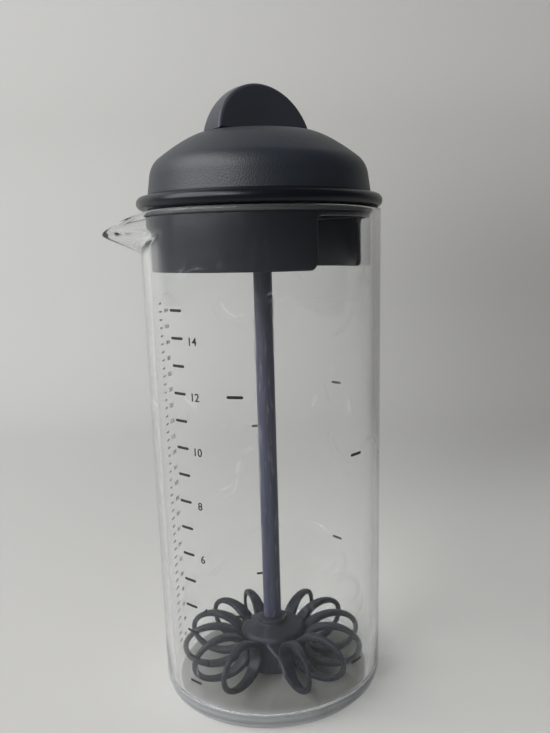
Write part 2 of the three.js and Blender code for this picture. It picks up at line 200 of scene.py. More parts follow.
class Shop:
    # the node tree of one material or world, and the making of its nodes

    def __init__(self, owner):
        self.owner = owner
        owner.use_nodes = True
        self.tree = owner.node_tree
        self.tree.nodes.clear()

    def node(self, kind, settings=None, sockets=None, output=0):
        # settings are set first, then the values or links of the sockets
        made = self.tree.nodes.new("ShaderNode" + kind)
        for key, value in (settings or {}).items():
            if key == "stops":
                while len(made.color_ramp.elements) < len(value):
                    made.color_ramp.elements.new(0.5)
                for stop, (at, shade) in zip(made.color_ramp.elements, value):
                    stop.position = at
                    stop.color = (shade, shade, shade, 1)
            else:
                setattr(made, key, value)
        for key, value in (sockets or {}).items():
            if isinstance(value, Link):
                self.tree.links.new(value.socket, made.inputs[key])
            else:
                made.inputs[key].default_value = value
        return Link(self, made.outputs[output]) if made.outputs else None

    def place(self):
        return self.node("TexCoord", {}, {}, "Object")

    def along(self, axis):
        return self.node("SeparateXYZ", {}, {"Vector": self.place()}, axis)

    def noise(self, scale, detail=2, roughness=0.5, stretch=None, tilt=(0, 0, 0)):
        # a small number in stretch draws the pattern out along that axis; tilt is in radians
        where = self.place()
        if stretch:
            where = self.node("Mapping", {}, {"Vector": where, "Scale": stretch, "Rotation": tilt})
        sockets = {"Vector": where, "Scale": scale, "Detail": detail, "Roughness": roughness}
        return self.node("TexNoise", {}, sockets)

    def ramp(self, value, stops):
        # grey values at places along a value's run from 0 to 1
        return self.node("ValToRGB", {"stops": stops}, {"Fac": value})

    def peaks(self, start, end, **pattern):
        # a noise's peaks as a mask: 0 up to start and 1 from end
        return self.ramp(self.noise(**pattern), ((start, 0), (end, 1)))

    def rise(self, value, start, end):
        # a smooth step from 0 at start to 1 at end
        run = {"Value": value, "From Min": start, "From Max": end}
        return self.node("MapRange", {"interpolation_type": "SMOOTHSTEP"}, run)

    def blend(self, share, first, second):
        # a Mix node has a set of sockets for each kind of value; 6, 7 and 2 are those of colours
        first, second = ((*c, 1) if isinstance(c, tuple) else c for c in (first, second))
        return self.node("Mix", {"data_type": "RGBA"}, {0: share, 6: first, 7: second}, 2)

    def bump(self, height, distance, under=None):
        sockets = {"Height": height, "Distance": distance}
        if under is not None:
            sockets["Normal"] = under
        return self.node("Bump", {}, sockets)

    def principled(self, **sockets):
        # keywords stand for socket names: baseColor for Base Color, ior for IOR
        named = {}
        for key, value in sockets.items():
            words = "".join(" " + c if c.isupper() else c for c in key).title()
            named["IOR" if key == "ior" else words] = (*value, 1) if isinstance(value, tuple) else value
        return self.node("BsdfPrincipled", {}, named)

    def done(self, surface, kind="Material"):
        self.node("Output" + kind, {}, {"Surface": surface})
        return self.owner


def materialShop(name):
    return Shop(bpy.data.materials.new(name))


clearLook = {
    "tint": (0.985, 0.99, 0.987),
    "edge": (0.6, 0.61, 0.62),  # light that leaves through a wall seen on edge
    "edgePower": 5,
    "mirror": (0.3, 0.3, 0.32),  # share of the gloss that a wall seen face on keeps
    "clearShare": 0.996,  # the rest scatters
    "bend": 1.5,
    "smooth": 0.015,
    "wornRough": 0.12,
    "shadowTint": (0.945, 0.947, 0.945, 1),
    "edgeTint": (0.2, 0.205, 0.21, 1),
    "drawn": {"scale": 420, "stretch": (1, 1, 0.035)},  # the moulding's upright lines
    "wave": {"scale": 38, "detail": 1, "stretch": (1, 1, 0.3)},
    "waveShare": 0.6,
    "drawnHeight": 0.000005,
    "scratchHeight": 0.000006,
    "scuffs": {
        "start": 0.6,
        "end": 0.72,
        "scale": 1500,
        "detail": 3,
        "roughness": 0.6,
        "stretch": (1, 1, 0.05),
        "tilt": (0.02, 0.015, 0),
    },
    "patches": {"start": 0.4, "end": 0.7, "scale": 26, "roughness": 0.6},
    "specks": {"start": 0.68, "end": 0.74, "scale": 2400, "roughness": 0.6},
    "hairPatches": {"start": 0.52, "end": 0.6, "scale": 90, "roughness": 0.6},
    "hairline": {"scale": 24, "detail": 1},
    "hairlineStops": ((0.495, 0), (0.5, 1), (0.505, 0)),
    "haze": (0.72, 0.77, 0.86),  # colour of the scattered light
    "hazeRough": 0.5,
    "hazeLeft": -0.036,  # along X, where the handled side's haze is full and where it ends
    "hazeRight": 0.004,
    "handledHaze": 0.012,  # how much light each kind of wear scatters; the foot's share is partly painted light
    "scuffHaze": 0.03,
    "speckHaze": 0.22,
    "hairlineHaze": 0.16,
    "footFrostAndHighlight": 0.3,
    "footTop": 0.0085,  # where the foot's band of rubbing and painted light ends and where it is full
    "footFull": 0.0034,
    "footInner": 0.0331,  # the band's inner radius
    "footHighlightRings": ((0, 0.15), (0.2, 1), (0.34, 0.3), (0.5, 0.9), (0.62, 0.5)),  # over its height
}


def clearPlastic():
    # clear wall with upright draw lines, fine scuffs, a haze of wear on its left side, and a foot whose
    # band is partly rubbed frosting and partly painted light, in pale rings that stand in for highlights
    look = clearLook
    shop = materialShop("clearPlastic")
    patches = shop.peaks(**look["patches"])
    worn = shop.peaks(**look["scuffs"]) * patches
    specks = shop.peaks(**look["specks"]) * patches
    # hairlines follow one level of a slow noise, broken up by patches
    hairline = shop.ramp(shop.noise(**look["hairline"]), look["hairlineStops"])
    hairline = hairline * shop.peaks(**look["hairPatches"])
    lines = shop.noise(**look["drawn"]) + shop.noise(**look["wave"]) * look["waveShare"]
    normal = shop.bump(worn, look["scratchHeight"], shop.bump(lines, look["drawnHeight"]))
    onEdge = shop.node("LayerWeight", {}, {"Blend": 0.5}, "Facing")
    wall = shop.principled(
        baseColor=shop.blend(onEdge ** look["edgePower"], look["tint"], look["edge"]),
        specularTint=look["mirror"],
        roughness=worn * look["wornRough"] + look["smooth"],
        transmissionWeight=look["clearShare"],
        ior=look["bend"],
        normal=normal,
    )
    dull = shop.principled(baseColor=look["haze"], roughness=look["hazeRough"], normal=normal)
    handled = shop.rise(shop.along("X"), look["hazeRight"], look["hazeLeft"])
    flat = shop.node("VectorMath", {"operation": "MULTIPLY"}, {0: shop.place(), 1: (1, 1, 0)})
    outward = shop.node("VectorMath", {"operation": "LENGTH"}, {0: flat}, "Value")
    z = shop.along("Z")
    # the foot's band: partly rubbed frosting, partly painted light that brightens a heel darkened by the
    # shadow beneath it, in rings that are painted highlights
    foot = shop.rise(z, look["footTop"], look["footFull"]) * (outward > look["footInner"])
    highlightRings = shop.ramp(z * (1 / look["footTop"]), look["footHighlightRings"])
    share = handled * look["handledHaze"] + worn * look["scuffHaze"] + specks * look["speckHaze"]
    share = share + hairline * look["hairlineHaze"] + foot * highlightRings * look["footFrostAndHighlight"]
    clouded = shop.node("MixShader", {}, {0: share, 1: wall, 2: dull})
    # light for shadows passes straight through, and less of it where the wall is seen on edge
    passing = shop.node("BsdfTransparent", {}, {"Color": look["shadowTint"]})
    edgeOn = shop.node("BsdfTransparent", {}, {"Color": look["edgeTint"]})
    cast = shop.node("MixShader", {}, {0: onEdge * onEdge, 1: passing, 2: edgeOn})
    shadow = shop.node("LightPath", {}, {}, "Is Shadow Ray")
    return shop.done(shop.node("MixShader", {}, {0: shadow, 1: clouded, 2: cast}))


inkLook = {
    "black": (0.012, 0.012, 0.014),
    "thin": (0.06, 0.06, 0.065),
    "thinner": {"start": 0.55, "end": 0.75, "scale": 2600},
    "rough": 0.45,
    "thinRough": 0.15,
}


def printedInk():
    # ink that prints a little thinner in places
    look = inkLook
    shop = materialShop("printedInk")
    thinner = shop.peaks(**look["thinner"])
    color = shop.blend(thinner, look["black"], look["thin"])
    rough = look["rough"] + thinner * look["thinRough"]
    return shop.done(shop.principled(baseColor=color, roughness=rough))


domeLook = {
    "black": (0.0135, 0.018, 0.027),
    "dust": (0.05, 0.055, 0.062),
    "cells": 2300,  # scale of the leathery cells
    "fine": {"scale": 3200, "roughness": 0.6},
    "grainHeight": 0.00009,
    "cloud": {"scale": 60, "detail": 3, "roughness": 0.6},
    "specks": {"start": 0.68, "end": 0.74, "scale": 3800, "detail": 1},
    "speckDust": 0.6,
    "cloudDust": 0.1,
    "rough": 0.39,
    "cloudRough": 0.08,
    "speckRough": 0.2,
    "bend": 1.49,
}


def grainedBlack():
    # moulded dome: fine leathery grain that catches the light, with a little dust
    look = domeLook
    shop = materialShop("grainedBlack")
    sockets = {"Vector": shop.place(), "Scale": look["cells"]}
    cells = shop.node("TexVoronoi", {"feature": "SMOOTH_F1"}, sockets)
    fine = shop.noise(**look["fine"])
    cloud = shop.noise(**look["cloud"])
    specks = shop.peaks(**look["specks"])
    dust = specks * look["speckDust"] + cloud * look["cloudDust"]
    normal = shop.bump(cells * 0.5 + fine * 0.5, look["grainHeight"])
    surface = shop.principled(
        baseColor=shop.blend(dust, look["black"], look["dust"]),
        roughness=look["rough"] + cloud * look["cloudRough"] + specks * look["speckRough"],
        normal=normal,
        ior=look["bend"],
    )
    return shop.done(surface)


glossLook = {
    "black": (0.0045, 0.0052, 0.0078),
    "scuffed": (0.03, 0.033, 0.04),
    "mirror": (0.58, 0.6, 0.68),
    "rough": 0.25,
}
knobLook = {
    "black": (0.041, 0.044, 0.055),
    "scuffed": (0.055, 0.06, 0.07),
    "mirror": (0.5, 0.52, 0.6),
    "rough": 0.3,
}
scuffLook = {
    "hair": {
        "start": 0.6,
        "end": 0.78,
        "scale": 900,
        "detail": 3,
        "roughness": 0.6,
        "stretch": (1, 1, 7),
    },
    "hairShare": 0.35,
    "hairHeight": 0.00001,
    "hairRough": 0.2,
    "cloud": {"scale": 70, "detail": 3, "roughness": 0.55},
    "cloudRough": 0.08,
}


def glossyBlack(name, look):
    # smooth moulded black with fine turning scuffs and finger marks
    wear = scuffLook
    shop = materialShop(name)
    hair = shop.peaks(**wear["hair"])
    cloud = shop.noise(**wear["cloud"])
    surface = shop.principled(
        baseColor=shop.blend(hair * wear["hairShare"], look["black"], look["scuffed"]),
        roughness=look["rough"] + cloud * wear["cloudRough"] + hair * wear["hairRough"],
        normal=shop.bump(hair, wear["hairHeight"]),
        specularTint=look["mirror"],
    )
    return shop.done(surface)


stemLook = {
    "navy": (0.03, 0.034, 0.064),
    "streak": (0.17, 0.18, 0.22),
    "grey": (0.014, 0.016, 0.034),
    "streaks": {"scale": 1300, "detail": 3, "roughness": 0.65, "stretch": (1, 1, 0.016)},
    "navyStops": ((0.35, 0), (0.65, 1)),
    "rubbed": {
        "start": 0.56,
        "end": 0.74,
        "scale": 1100,
        "detail": 3,
        "roughness": 0.7,
        "stretch": (1, 1, 0.14),
    },
    "rubbedShare": 0.8,
    "streakHeight": 0.00004,
    "rough": 0.3,
    "streakRough": 0.2,
    "rubbedRough": 0.2,
    "bend": 1.5,
}


def drawnNavy():
    # extruded rod: long streaks along Z, with light rubbing
    look = stemLook
    shop = materialShop("drawnNavy")
    streaks = shop.noise(**look["streaks"])
    rubbed = shop.peaks(**look["rubbed"])
    body = shop.blend(shop.ramp(streaks, look["navyStops"]), look["grey"], look["navy"])
    surface = shop.principled(
        baseColor=shop.blend(rubbed * look["rubbedShare"], body, look["streak"]),
        roughness=look["rough"] + streaks * look["streakRough"] + rubbed * look["rubbedRough"],
        normal=shop.bump(streaks, look["streakHeight"]),
        ior=look["bend"],
    )
    return shop.done(surface)


whiskLook = {
    "dark": (0.004, 0.005, 0.0075),
    "pale": (0.014, 0.017, 0.024),
    "mirror": (0.3, 0.33, 0.42),
    "cloud": {"start": 0.35, "end": 0.7, "scale": 240, "detail": 4, "roughness": 0.6},
    "fine": {"scale": 2400, "roughness": 0.6},
    "cloudShare": 0.5,
    "fineShare": 0.2,
    "fineHeight": 0.00003,
    "rough": 0.4,
    "cloudRough": 0.14,
}


def mouldedGrey():
    # whisk: matte moulding, paler where it has rubbed
    look = whiskLook
    shop = materialShop("mouldedGrey")
    cloud = shop.peaks(**look["cloud"])
    fine = shop.noise(**look["fine"])
    rubbed = cloud * look["cloudShare"] + fine * look["fineShare"]
    surface = shop.principled(
        baseColor=shop.blend(rubbed, look["dark"], look["pale"]),
        roughness=look["rough"] + cloud * look["cloudRough"],
        normal=shop.bump(fine, look["fineHeight"]),
        specularTint=look["mirror"],
    )
    return shop.done(surface)


rubberLook = {
    "gasket": (0.07, 0.073, 0.078),
    "gasketShare": 0.8,  # of its colour, in the mottle's darker places
    "seal": (0.045, 0.046, 0.05),
    "sealShare": 0.7,
    "cloud": {"scale": 500, "detail": 3, "roughness": 0.6},
    "cloudHeight": 0.00003,
    "rough": 0.55,
    "cloudRough": 0.15,
}


def rubber(name, color, share):
    # matte rubber with a faint mottle
    look = rubberLook
    shop = materialShop(name)
    cloud = shop.noise(**look["cloud"])
    deeper = tuple(c * share for c in color)
    surface = shop.principled(
        baseColor=shop.blend(cloud, deeper, color),
        roughness=look["rough"] + cloud * look["cloudRough"],
        normal=shop.bump(cloud, look["cloudHeight"]),
    )
    return shop.done(surface)


finishes = {
    "clear": clearPlastic(),
    "ink": printedInk(),
    "dome": grainedBlack(),
    "collar": glossyBlack("glossyBlack", glossLook),
    "knob": glossyBlack("satinBlack", knobLook),
    "stem": drawnNavy(),
    "whisk": mouldedGrey(),
    "gasket": rubber("greyRubber", rubberLook["gasket"], rubberLook["gasketShare"]),
    "seal": rubber("darkRubber", rubberLook["seal"], rubberLook["sealShare"]),
}
print("finishes made:", len(finishes))


# Carafe

seatGap = 0.3
carafe = {
    "footRadius": 33,
    "wallBaseRadius": 35.74,
    "rimRadius": reachOf("carafe"),
    "rimHeight": high("carafe"),
    "wall": 2.3,
    "floor": 3.1,
    "footCorner": 5.5,
    "floorCorner": 3.2,
    "rimRounding": 0.9,
    "spoutReach": 12.05,
    "nose": 2.8,
    "spoutStart": 137.5,
    "valleyHeight": 141.6,
    "valleySlope": 0.42,
    "valleyBlend": 0.5,
    "tipSoftness": 1.2,
    "spoutFloor": 1.6,
    "lipDrop": 6.1,
    "lipCurve": 1.9,
    "spoutSpread": 1.08,  # share of the spout's half angle that its finer columns cover
    "spoutColumns": 91,
    "wallColumns": 192,
    "spoutRows": 40,
    "rowCrowding": 0.8,  # under 1 sets the spout's rows closer together towards the rim
    "wallRows": 12,
    "roundRows": 9,
    "poleShare": 0.6,  # of the radius, where the rows round each pole lie
    "sharpAngle": 60,
}


def wallRadius(z):
    taper = (carafe["rimRadius"] - carafe["wallBaseRadius"]) / carafe["rimHeight"]
    return carafe["wallBaseRadius"] + taper * z


def noseReach(z):
    # hyperbola between the wall and the channel's straight underside, held at the tip

    def valley(height):
        rise = height - carafe["valleyHeight"]
        root = np.sqrt(rise**2 + 4 * carafe["valleySlope"] * carafe["valleyBlend"])
        return (rise + root) / (2 * carafe["valleySlope"])

    # soft minimum of two lengths: (a + b - root((a - b)^2 + s^2)) / 2
    rising = valley(z) - valley(carafe["spoutStart"])
    most = carafe["spoutReach"]
    reach = (rising + most - np.sqrt((rising - most) ** 2 + carafe["tipSoftness"] ** 2)) / 2
    return np.where(z <= carafe["spoutStart"], 0, np.maximum(reach, 0))


def planRadius(angle, reach, radius, nose):
    # the wall's circle, the spout's straight flanks as its tangents, and the rounded nose
    away = np.abs(angle)
    centre = radius - nose + reach
    flank = np.arccos((radius - nose) / centre)
    noseEnd = np.arctan2(nose * np.sin(flank), centre + nose * np.cos(flank))
    side = np.minimum(centre * np.sin(away), nose)
    tip = centre * np.cos(away) + np.sqrt(nose**2 - side**2)
    straight = radius / np.cos(flank - away)
    return np.where(away >= flank, radius, np.where(away <= noseEnd, tip, straight))


def carafeGrid():
    # rows run up the outside, over the rim, down the inside and across the floor; columns run
    # round from the spout's middle, which is at -X
    noseCentre = carafe["rimRadius"] - carafe["nose"]
    flank = math.acos(noseCentre / (noseCentre + carafe["spoutReach"]))
    spread = carafe["spoutSpread"] * flank
    near = np.linspace(-spread, spread, carafe["spoutColumns"])
    rest = np.linspace(spread, turn - spread, carafe["wallColumns"])[1:-1]
    angle = np.concatenate([near, rest])
    signed = np.where(angle > np.pi, angle - turn, angle)
    away = np.minimum(np.abs(signed), flank)
    along = np.tan(flank - away) / math.tan(flank)
    edge = carafe["rimHeight"] - carafe["lipDrop"] * along ** carafe["lipCurve"]
    rounding, start = carafe["rimRounding"], carafe["spoutStart"]
    share = np.linspace(0, 1, carafe["spoutRows"] + 1)[1:, None] ** carafe["rowCrowding"]
    rising = start + (edge - rounding - start) * share

    def outside(z, inset):
        return planRadius(signed, noseReach(z), wallRadius(z) - inset, carafe["nose"] - inset)

    def inside(z, inset):
        reach = noseReach(z - carafe["spoutFloor"])
        back = carafe["wall"] - inset
        return planRadius(signed, reach, wallRadius(z) - back, carafe["nose"] - back)

    def still(profile):
        profile = np.asarray(profile, float)
        return profile[:, :1] + 0 * angle, profile[:, 1:] + 0 * angle

    bend = np.linspace(0, quarter, carafe["roundRows"])[:, None]
    footEnd = float(wallRadius(carafe["footCorner"]))
    footOut = carafe["footRadius"] + (footEnd - carafe["footRadius"]) * np.sin(bend)
    foot = np.hstack([footOut, carafe["footCorner"] * (1 - np.cos(bend))])
    roundUp = rounding * np.sin(bend)
    roundIn = rounding * (1 - np.cos(bend))
    over = edge - rounding + roundUp
    cornerTop = carafe["floor"] + carafe["floorCorner"]
    cornerRadius = float(wallRadius(cornerTop)) - carafe["wall"]
    coveOut = cornerRadius - carafe["floorCorner"] * (1 - np.cos(bend))
    cove = np.hstack([coveOut, cornerTop - carafe["floorCorner"] * np.sin(bend)])
    wallRows = np.linspace(carafe["footCorner"], start, carafe["wallRows"])[1:, None]
    innerRows = np.linspace(start, cornerTop, carafe["wallRows"])[:-1, None]
    parts = [
        still([(0, 0), (carafe["footRadius"] * carafe["poleShare"], 0)]),
        still(foot),
        still(np.hstack([wallRadius(wallRows), wallRows])),
        (outside(rising, 0), rising),
        (outside(over, roundIn), over),
        (inside(over, roundIn)[::-1], over[::-1]),
        (inside(rising, 0)[::-1], rising[::-1]),
        still(np.hstack([wallRadius(innerRows) - carafe["wall"], innerRows])),
        still(cove),
        still([(cornerRadius * carafe["poleShare"], carafe["floor"]), (0, carafe["floor"])]),
    ]
    radius = np.concatenate([p[0] for p in parts])
    height = np.concatenate([p[1] for p in parts])
    return np.stack([-radius * np.cos(angle), -radius * np.sin(angle), height], -1)


carafeGrids = [(carafeGrid(), False, True)]
clear = finishes["clear"]
gridPiece("carafeWall", carafeGrids, "base", clear, ["carafe"], carafe["sharpAngle"])
print("carafe made")


# Printed scale

print("printing the scale")
marks = {
    "ounce": 29.5735,  # millilitres
    "millilitre": 1000,  # cubic millimetres
    "fillSteps": 4000,
    "lift": 1.0,  # of the printed scale above the exact levels
    "ounces": 15,
    "ounceAngle": -41.7,
    "ounceSize": (4.7, 0.78),
    "ounceNumberAngle": -33.0,
    "ounceNumberDrop": 0.8,
    "ounceNumberSize": 3.3,
    "numberWeight": 0.035,
    "fineStep": 10,  # millilitres
    "fineEnd": 450,
    "fineLift": -2.1,  # added to the lift for the fine scale
    "fineAngle": -102.0,
    "fineSize": (3.0, 0.6),
    "fineNumberAngle": -110.5,
    "fineNumberSize": 1.9,
    "dashSize": (4.8, 0.85),
    "dashes": (  # angle and height of each level dash
        (-13.5, 102.0),
        (-13.5, 37.0),
        (45.2, 82.0),
        (45.2, 16.0),
        (133.4, 94.5),
        (133.4, 36.5),
        (-174.4, 77.0),
        (-174.4, 19.0),
    ),
    "proud": 0.05,  # ink above the wall
    "sunk": 0.05,
    "dashColumns": 17,
    "dashCrowding": 1.6,  # over 1 sets the columns closer together towards the ends
    "dashTaper": 4,  # how soon a dash gets its full depth
    "numberSteps": 4,
    "sharpAngle": 30,
}


def heightFor(volumes):
    # how high the carafe fills: the inside's area summed over its height
    z = np.linspace(carafe["floor"], carafe["rimHeight"], marks["fillSteps"])
    inner = wallRadius(z) - carafe["wall"]
    held = np.cumsum(np.pi * inner**2) * (z[1] - z[0]) / marks["millilitre"]
    return np.interp(volumes, held, z) + marks["lift"]


def onWall(across, up, depth, angle, height):
    # a flat drawing laid round the wall at an angle and a height
    z = height + up
    radius = wallRadius(z)
    return around(radius + depth, math.radians(angle) + across / radius, z)


def dash(width, thickness, angle, height):
    # a bar with rounded ends: a square-edged section whose height follows a stadium's outline
    run = np.linspace(-1, 1, marks["dashColumns"])
    run = np.sign(run) * (1 - (1 - np.abs(run)) ** marks["dashCrowding"])
    short = np.maximum(np.abs(run) * width / 2 - (width - thickness) / 2, 0) / (thickness / 2)
    grow = np.sqrt(np.maximum(1 - short**2, 0))[:, None]
    ring = np.array([(-1, -1), (1, -1), (1, 1), (-1, 1)], float)
    up = ring[None, :, 0] * grow * thickness / 2
    middle = (marks["proud"] - marks["sunk"]) / 2
    half = (marks["proud"] + marks["sunk"]) / 2 * np.minimum(grow * marks["dashTaper"], 1)
    deep = middle - ring[None, :, 1] * half
    return onWall(run[:, None] * width / 2 + 0 * up, up, deep, angle, height)


def printDashes(name, size, places):
    grids = [(dash(*size, angle, height), False, True) for angle, height in places]
    return gridPiece(name, grids, "base", finishes["ink"])


def digitArrays(text, size):
    # one number's solid digits as points and faces, centred, in millimetres
    curve = bpy.data.curves.new("digits", "FONT")
    curve.body = text
    curve.size = size
    curve.extrude = 1
    curve.offset = marks["numberWeight"]
    curve.resolution_u = marks["numberSteps"]
    curve.align_x = "CENTER"
    curve.align_y = "CENTER"
    carrier = addObject("digits", curve)
    bpy.context.view_layer.update()
    mesh = bpy.data.meshes.new_from_object(carrier.evaluated_get(bpy.context.evaluated_depsgraph_get()))
    points = np.zeros(len(mesh.vertices) * 3)
    mesh.vertices.foreach_get("co", points)
    faces = [list(p.vertices) for p in mesh.polygons]
    bpy.data.objects.remove(carrier)
    bpy.data.curves.remove(curve)
    bpy.data.meshes.remove(mesh)
    return points.reshape(-1, 3), faces


def printNumbers(name, size, angle, numbers, heights):
    # the heights are those of the numbers' middles
    points, faces, start = [], [], 0
    for number, height in zip(numbers, heights):
        flat, shapes = digitArrays(str(number), size)
        deep = np.where(flat[:, 2] > 0, marks["proud"], -marks["sunk"])
        points.append(onWall(flat[:, 0], flat[:, 1], deep, angle, height))
        faces += [[i + start for i in face] for face in shapes]
        start += len(flat)
    mesh = meshOf(name, np.concatenate(points), faces, marks["sharpAngle"])
    return placePiece(name, mesh, "base", finishes["ink"])


ounces = np.arange(1, marks["ounces"] + 1)
ounceHeights = heightFor(ounces * marks["ounce"])
printDashes("ounceMarks", marks["ounceSize"], [(marks["ounceAngle"], z) for z in ounceHeights])
# every second mark has its number
evenHeights = ounceHeights[1::2] - marks["ounceNumberDrop"]
printNumbers("ounceNumbers", marks["ounceNumberSize"], marks["ounceNumberAngle"], ounces[1::2], evenHeights)
fine = np.arange(marks["fineStep"] * 2, marks["fineEnd"] + 1, marks["fineStep"])
fineHeights = heightFor(fine) + marks["fineLift"]
printDashes("fineMarks", marks["fineSize"], [(marks["fineAngle"], z) for z in fineHeights])
printNumbers("fineNumbers", marks["fineNumberSize"], marks["fineNumberAngle"], fine[::2], fineHeights[::2])
printDashes("levelDashes", marks["dashSize"], marks["dashes"])


# Lid

print("making the lid")
flange = carafe["rimHeight"] + seatGap
collar = {
    "beadRadius": reachOf("lid_collar"),
    "beadThickness": 4,
    "skirtRadius": 34,
    "skirtThickness": 1.8,
    "skirtEnd": low("lid_collar"),
    "bandHeight": 2.8,
    "bandThickness": 3.2,
    "windowStart": 26,
    "windowEnd": 103,
    "windowCorner": 2,
    "windowRounding": 0.5,
    "slopeWidth": 1.2,
    "slopeHeight": 0.5,
    "lipThickness": 1.6,
    "lipTop": high("lid_collar"),
    "lipTaper": 0.4,
    "skirtEdge": 0.5,  # roundings of the section's corners
    "softEdge": 0.4,
    "slopeEdge": 0.3,
    "bandEdge": 0.15,
    "grooveEdge": 0.12,
    "seatEdge": 0.1,
    "beadFlat": 0.05,  # by which each half of the bead's rounding falls short
    "endBand": 1,  # height of the skirt's end rows, which the window raises
    "columnGap": 0.0004,  # radians between the two columns at an upright side of the window
    "cornerColumns": 9,
    "columns": 192,
}
windowEdge = {
    "uprightSteps": 12,
    "topSteps": 60,
    "sides": 16,
    "taper": 2,  # height over which it grows from the skirt's end
    "least": 0.01,
    "sunk": 0.005,  # below both faces of the skirt
}
gasket = {
    "low": low("lid_gasket"),
    "high": high("lid_gasket"),
    "outer": reachOf("lid_gasket"),
    "depth": 1.35,
    "rounding": 0.4,
}
dome = {
    "seat": (34.2, 158.66),
    "wallTop": (33.5, 163.6),
    "shoulderCorner": (33.05, 167.3),
    "slopeStart": (30.6, 169.2),
    "slopeCorner": (23.42, 174.73),
    "crownEdge": (18.5, 176.4),
    "crown": (16.5, 176.6),
    "wall": 2,
    "guideRadius": 6.4,
    "guideEnd": 158,
    "bore": 3.25,
    "counterbore": 4.9,
    "counterboreTop": 161.6,
    "wallSteps": 20,
    "slopeSteps": 28,
    "crownInset": 1,  # from the crown's edge to the guide's section
    "boreEdge": 0.35,
    "counterboreEdge": 0.1,
    "guideInnerEdge": 0.2,
    "guideOuterEdge": 0.4,
    "guideFillet": 1.2,
}
guideRings = {"sealRounding": 0.5, "retainerRounding": 0.4}


def collarGrid():
    # the collar's section carried round the axis, its skirt's end raised over the pour window
    skirtInner = collar["skirtRadius"] - collar["skirtThickness"]
    bandInner = collar["skirtRadius"] - collar["bandThickness"]
    windowTop = flange - collar["bandHeight"]
    grooveLow, grooveHigh = gasket["low"] - seatGap, gasket["high"] + seatGap
    grooveRadius = gasket["outer"] - gasket["depth"] - seatGap
    bandEnd = (windowTop + grooveLow) / 2
    beadTop = flange + collar["beadThickness"]
    top = beadTop + collar["slopeHeight"]
    lipOuter = dome["seat"][0] - dome["wall"] - seatGap
    lipInner = lipOuter - collar["lipThickness"]
    nose = collar["beadThickness"] / 2 - collar["beadFlat"]
    soft, groove = collar["softEdge"], collar["grooveEdge"]
    profile = filleted(
        [
            (skirtInner, collar["skirtEnd"], soft),
            (collar["skirtRadius"], collar["skirtEnd"], collar["skirtEdge"]),
            (collar["skirtRadius"], grooveLow, groove),
            (grooveRadius, grooveLow, groove),
            (grooveRadius, grooveHigh, groove),
            (collar["skirtRadius"], grooveHigh, groove),
            (collar["skirtRadius"], flange, groove),
            (collar["beadRadius"], flange, nose),
            (collar["beadRadius"], beadTop, nose),
            (dome["seat"][0] + collar["slopeWidth"], beadTop, collar["slopeEdge"]),
            (dome["seat"][0], top, collar["bandEdge"]),
            (lipOuter, top, collar["seatEdge"]),
            (lipOuter - collar["lipTaper"], collar["lipTop"], soft),
            (lipInner, collar["lipTop"], soft),
            (lipInner, top, soft),
            (bandInner, flange, soft),
            (bandInner, bandEnd, collar["bandEdge"]),
            (skirtInner, bandEnd, collar["bandEdge"]),
        ]
    )
    start, end = math.radians(collar["windowStart"]), math.radians(collar["windowEnd"])
    corner = collar["windowCorner"] / collar["skirtRadius"]
    near = collar["columnGap"] + corner * (1 - np.cos(np.linspace(0, quarter, collar["cornerColumns"])))
    even = fullTurn(collar["columns"])
    angle = np.unique(np.concatenate([even, start + near, end - near, start - near, end + near]))
    # a quarter circle at each corner: how much of its radius is left at a share of its width
    inside = np.minimum(angle - start, end - angle) / corner
    left = collar["windowCorner"] * (1 - np.sqrt(1 - (1 - np.clip(np.abs(inside), 0, 1)) ** 2))
    rise = np.where(inside > 0, windowTop - collar["skirtEnd"] - left, left)
    endRows = profile[:, 1:] < collar["skirtEnd"] + collar["endBand"]
    return around(profile[:, :1], angle, profile[:, 1:] + np.where(endRows, rise, 0))


def windowEdgeGrid():
    # an oval section carried up one side of the pour window, over its top and down the other
    middle = collar["skirtRadius"] - collar["skirtThickness"] / 2
    corner, top = collar["windowCorner"], flange - collar["bandHeight"]
    first = math.radians(collar["windowStart"]) * middle
    last = math.radians(collar["windowEnd"]) * middle
    bend = np.linspace(0, quarter, windowEdge["uprightSteps"])
    up = np.linspace(collar["skirtEnd"] + corner, top - corner, windowEdge["uprightSteps"])[:-1]
    over = np.linspace(first + corner, last - corner, windowEdge["topSteps"])[1:-1]
    s = [0 * up + first, first + corner * (1 - np.cos(bend)), over]
    z = [up, top - corner * (1 - np.sin(bend)), 0 * over + top]
    s += [last - s[1][::-1] + first, last - s[0][::-1] + first]
    z += [z[1][::-1], z[0][::-1]]
    s, z = np.concatenate(s), np.concatenate(z)
    ds, dz = np.gradient(s), np.gradient(z)
    run = np.hypot(ds, dz)
    sweep = fullTurn(windowEdge["sides"])[:, None]
    grow = np.sqrt(np.clip((z - z[0]) / windowEdge["taper"], windowEdge["least"], 1))
    aside = collar["windowRounding"] * grow * np.sin(sweep)
    deep = (collar["skirtThickness"] / 2 - windowEdge["sunk"]) * np.cos(sweep)
    return around(middle + deep, (s + aside * dz / run) / middle, z - aside * ds / run).swapaxes(0, 1)


